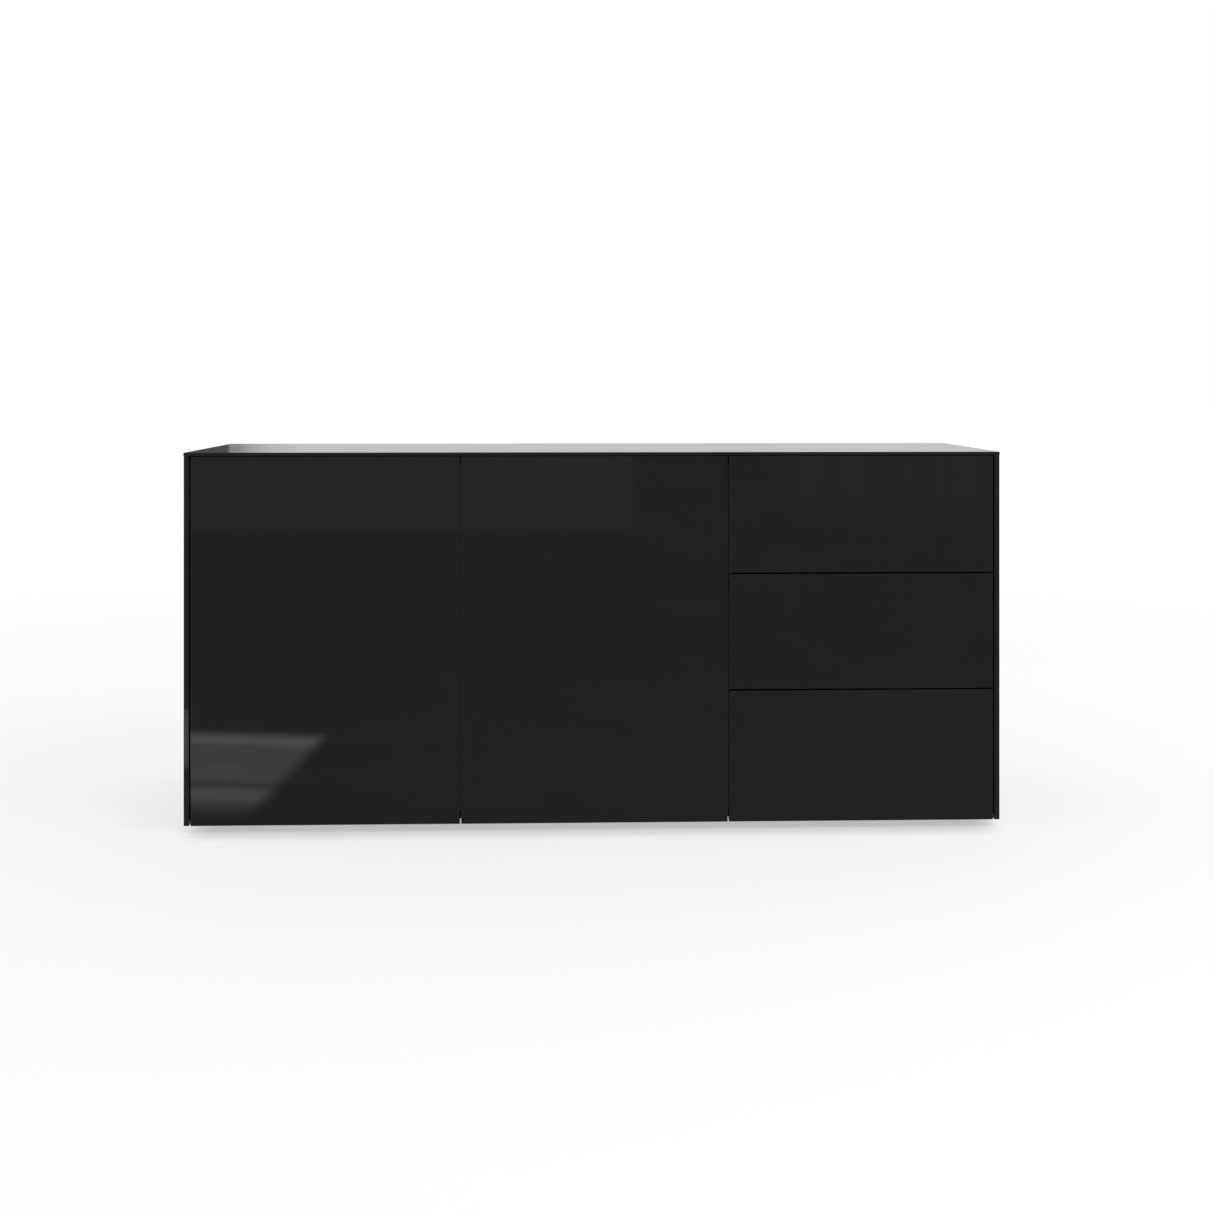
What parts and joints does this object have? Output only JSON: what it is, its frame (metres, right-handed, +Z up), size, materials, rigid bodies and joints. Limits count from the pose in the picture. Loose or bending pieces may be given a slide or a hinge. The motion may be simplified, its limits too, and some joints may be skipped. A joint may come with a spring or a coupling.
{
  "type": "sideboard with doors and drawers",
  "caption": "Handleless black high-gloss sideboard: hinged push-to-open doors beside a column of drawers on ball-bearing runners, under a thin black glass top on hidden levelling feet.",
  "frame": {"origin": "on the floor under the centre of the glass top", "axes": "+Z up, -Y towards the person in front, +X to that person's right, where the drawers are"},
  "size_m": [1.6, 0.48, 0.741],
  "materials": {
    "black_glass": "opaque black float glass, polished",
    "clear_pad": "clear silicone",
    "gloss_lacquer": "black high-gloss lacquer on MDF",
    "carcass_board": "matt black melamine on chipboard",
    "back_board": "matt black melamine on fibreboard",
    "nickel": "nickel-plated pressed steel",
    "beech": "fluted beech dowel",
    "zinc_screw": "bright zinc",
    "pin_steel": "bright drawn steel",
    "grey_plastic": "dark grey nylon",
    "foot_plastic": "black nylon",
    "plunger_plastic": "light grey acetal",
    "runner_steel": "zinc-plated rolled steel",
    "drawer_board": "fine-grained grey melamine"
  },
  "bodies": {
    "cabinet": {"glass_top": "black_glass", "glass_pads": "clear_pad", "left_cheek": "gloss_lacquer", "right_cheek": "gloss_lacquer", "left_side": "carcass_board", "right_side": "carcass_board", "left_partition": "carcass_board", "right_partition": "carcass_board", "top_panel": "carcass_board", "bottom_panel": "carcass_board", "back_panel": "back_board", "left_shelf": "carcass_board", "centre_shelf": "carcass_board", "shelf_pins": "nickel", "carcass_dowels": "beech", "cheek_screws": "zinc_screw", "foot_sockets": "grey_plastic", "hinge_arms": "nickel", "hinge_plates": "nickel", "hinge_pins": "pin_steel", "hinge_screws": "zinc_screw", "latch_housings": "grey_plastic", "latch_springs": "pin_steel", "cabinet_rails": "runner_steel", "rail_screws": "zinc_screw"},
    "left_door": {"left_door": "gloss_lacquer", "left_hinge_cups": "nickel", "left_keeper": "pin_steel"},
    "centre_door": {"centre_door": "gloss_lacquer", "centre_hinge_cups": "nickel", "centre_keeper": "pin_steel"},
    "left_door_plunger": {"left_door_plunger": "plunger_plastic"},
    "centre_door_plunger": {"centre_door_plunger": "plunger_plastic"},
    "top_drawer": {"top_drawer_front": "gloss_lacquer", "top_drawer_sides": "drawer_board", "top_drawer_back": "drawer_board", "top_drawer_base": "drawer_board", "top_drawer_rails": "runner_steel"},
    "top_drawer_mid_rails": {"top_drawer_mid_rails": "runner_steel"},
    "top_drawer_plunger": {"top_drawer_plunger": "plunger_plastic"},
    "middle_drawer": {"middle_drawer_front": "gloss_lacquer", "middle_drawer_sides": "drawer_board", "middle_drawer_back": "drawer_board", "middle_drawer_base": "drawer_board", "middle_drawer_rails": "runner_steel"},
    "middle_drawer_mid_rails": {"middle_drawer_mid_rails": "runner_steel"},
    "middle_drawer_plunger": {"middle_drawer_plunger": "plunger_plastic"},
    "bottom_drawer": {"bottom_drawer_front": "gloss_lacquer", "bottom_drawer_sides": "drawer_board", "bottom_drawer_back": "drawer_board", "bottom_drawer_base": "drawer_board", "bottom_drawer_rails": "runner_steel"},
    "bottom_drawer_mid_rails": {"bottom_drawer_mid_rails": "runner_steel"},
    "bottom_drawer_plunger": {"bottom_drawer_plunger": "plunger_plastic"},
    "front_left_foot": {"front_left_foot": "foot_plastic"},
    "front_middle_foot": {"front_middle_foot": "foot_plastic"},
    "front_right_foot": {"front_right_foot": "foot_plastic"},
    "rear_left_foot": {"rear_left_foot": "foot_plastic"},
    "rear_middle_foot": {"rear_middle_foot": "foot_plastic"},
    "rear_right_foot": {"rear_right_foot": "foot_plastic"}
  },
  "joints": [
    {"name": "left_door_hinge", "type": "hinge", "parent": "cabinet", "child": "left_door", "pos_m": [-0.7783, -0.2333, 0.374], "axis": [0, 0, -1], "range_deg": [-0.28, 90]},
    {"name": "centre_door_hinge", "type": "hinge", "parent": "cabinet", "child": "centre_door", "pos_m": [0.25297, -0.2333, 0.374], "axis": [0, 0, 1], "range_deg": [-0.28, 90]},
    {"name": "left_door_plunger_slide", "type": "slide", "parent": "cabinet", "child": "left_door_plunger", "axis": [0, -1, 0], "range_m": [-0.0002, 0.0201]},
    {"name": "centre_door_plunger_slide", "type": "slide", "parent": "cabinet", "child": "centre_door_plunger", "axis": [0, -1, 0], "range_m": [-0.0002, 0.0201]},
    {"name": "top_drawer_slide", "type": "slide", "parent": "cabinet", "child": "top_drawer", "axis": [0, -1, 0], "range_m": [-0.0025, 0.4]},
    {"name": "top_drawer_mid_rail_slide", "type": "slide", "parent": "cabinet", "child": "top_drawer_mid_rails", "axis": [0, -1, 0], "range_m": [-0.00125, 0.2]},
    {"name": "top_drawer_plunger_slide", "type": "slide", "parent": "cabinet", "child": "top_drawer_plunger", "axis": [0, -1, 0], "range_m": [-0.0002, 0.0201]},
    {"name": "middle_drawer_slide", "type": "slide", "parent": "cabinet", "child": "middle_drawer", "axis": [0, -1, 0], "range_m": [-0.0025, 0.4]},
    {"name": "middle_drawer_mid_rail_slide", "type": "slide", "parent": "cabinet", "child": "middle_drawer_mid_rails", "axis": [0, -1, 0], "range_m": [-0.00125, 0.2]},
    {"name": "middle_drawer_plunger_slide", "type": "slide", "parent": "cabinet", "child": "middle_drawer_plunger", "axis": [0, -1, 0], "range_m": [-0.0002, 0.0201]},
    {"name": "bottom_drawer_slide", "type": "slide", "parent": "cabinet", "child": "bottom_drawer", "axis": [0, -1, 0], "range_m": [-0.0025, 0.4]},
    {"name": "bottom_drawer_mid_rail_slide", "type": "slide", "parent": "cabinet", "child": "bottom_drawer_mid_rails", "axis": [0, -1, 0], "range_m": [-0.00125, 0.2]},
    {"name": "bottom_drawer_plunger_slide", "type": "slide", "parent": "cabinet", "child": "bottom_drawer_plunger", "axis": [0, -1, 0], "range_m": [-0.0002, 0.0201]},
    {"name": "front_left_foot_screw", "type": "hinge", "parent": "cabinet", "child": "front_left_foot", "pos_m": [-0.7045, -0.1575, 0], "axis": [0, 0, 1], "continuous": true},
    {"name": "front_middle_foot_screw", "type": "hinge", "parent": "cabinet", "child": "front_middle_foot", "pos_m": [0, -0.1575, 0], "axis": [0, 0, 1], "continuous": true},
    {"name": "front_right_foot_screw", "type": "hinge", "parent": "cabinet", "child": "front_right_foot", "pos_m": [0.7045, -0.1575, 0], "axis": [0, 0, 1], "continuous": true},
    {"name": "rear_left_foot_screw", "type": "hinge", "parent": "cabinet", "child": "rear_left_foot", "pos_m": [-0.7045, 0.1795, 0], "axis": [0, 0, 1], "continuous": true},
    {"name": "rear_middle_foot_screw", "type": "hinge", "parent": "cabinet", "child": "rear_middle_foot", "pos_m": [0, 0.1795, 0], "axis": [0, 0, 1], "continuous": true},
    {"name": "rear_right_foot_screw", "type": "hinge", "parent": "cabinet", "child": "rear_right_foot", "pos_m": [0.7045, 0.1795, 0], "axis": [0, 0, 1], "continuous": true}
  ],
  "couplings": [
    {"joint": "left_door_plunger_slide", "follows": "left_door_hinge", "m_per_rad": 0.012732},
    {"joint": "centre_door_plunger_slide", "follows": "centre_door_hinge", "m_per_rad": 0.012732},
    {"joint": "top_drawer_mid_rail_slide", "follows": "top_drawer_slide", "ratio": 0.5},
    {"joint": "top_drawer_plunger_slide", "follows": "top_drawer_slide", "ratio": 0.05},
    {"joint": "middle_drawer_mid_rail_slide", "follows": "middle_drawer_slide", "ratio": 0.5},
    {"joint": "middle_drawer_plunger_slide", "follows": "middle_drawer_slide", "ratio": 0.05},
    {"joint": "bottom_drawer_mid_rail_slide", "follows": "bottom_drawer_slide", "ratio": 0.5},
    {"joint": "bottom_drawer_plunger_slide", "follows": "bottom_drawer_slide", "ratio": 0.05}
  ]
}
